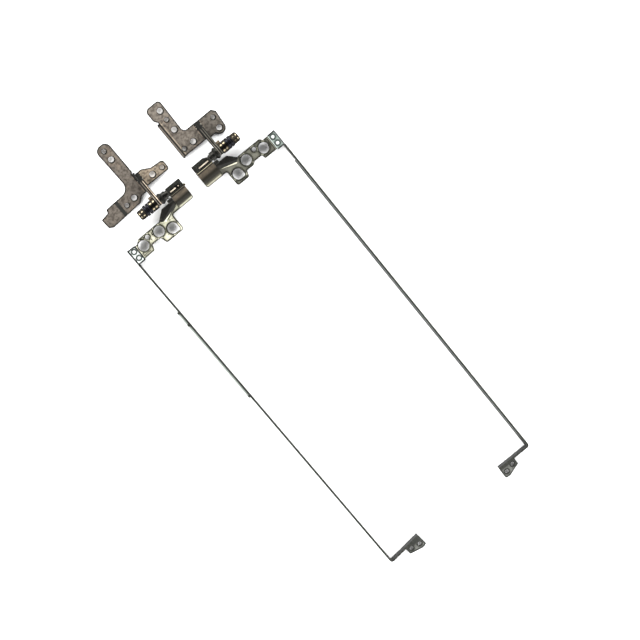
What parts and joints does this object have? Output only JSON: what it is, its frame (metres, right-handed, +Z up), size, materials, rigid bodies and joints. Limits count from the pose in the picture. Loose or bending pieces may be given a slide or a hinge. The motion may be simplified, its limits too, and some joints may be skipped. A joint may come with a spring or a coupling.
{
  "type": "laptop hinge pair",
  "caption": "Friction hinges that join a laptop's display lid to its base: stamped base brackets, a shaft with a washer stack, a cast lid bracket and a long display rail.",
  "frame": {"origin": "under the middle of the pair's bounding box, on the surface that the open pair lies on", "axes": "+X along the shafts towards the right hinge, +Y from the shafts towards the base brackets, +Z up"},
  "size_m": [0.094, 0.2612, 0.0082],
  "materials": {
    "plated_sheet": "satin, mottled bronze-grey plating",
    "bronze": "polished",
    "shaft_steel": "oiled dark steel",
    "spring_steel": "blackened",
    "plated_nut": "polished, straw-coloured plating",
    "black_steel": "blackened, satin",
    "cast_metal": "satin as cast, plated",
    "rail_steel": "satin grey",
    "rivet_steel": "satin"
  },
  "bodies": {
    "bases": {"left_base_bracket": "plated_sheet", "left_wing_bracket": "plated_sheet", "left_tab_washer": "bronze", "right_base_bracket": "plated_sheet", "right_wing_bracket": "plated_sheet", "right_tab_washer": "bronze"},
    "left_lid": {"left_shaft": "shaft_steel", "left_keyed_washer": "bronze", "left_spring_washers": "spring_steel", "left_lock_nut": "plated_nut", "left_friction_washer": "shaft_steel", "left_stop_washer": "black_steel", "left_lid_bracket": "cast_metal", "left_rail": "rail_steel", "left_rail_rivets": "rivet_steel"},
    "right_lid": {"right_shaft": "shaft_steel", "right_keyed_washer": "bronze", "right_spring_washers": "spring_steel", "right_lock_nut": "plated_nut", "right_friction_washer": "shaft_steel", "right_stop_washer": "black_steel", "right_lid_bracket": "cast_metal", "right_rail": "rail_steel", "right_rail_rivets": "rivet_steel"}
  },
  "joints": [
    {"name": "left_hinge", "type": "hinge", "parent": "bases", "child": "left_lid", "pos_m": [-0.01885, 0.09274, 0.0052], "axis": [-1, 0, 0], "range_deg": [0, 180]},
    {"name": "right_hinge", "type": "hinge", "parent": "bases", "child": "right_lid", "pos_m": [0.01975, 0.09274, 0.0052], "axis": [-1, 0, 0], "range_deg": [0, 180]}
  ]
}
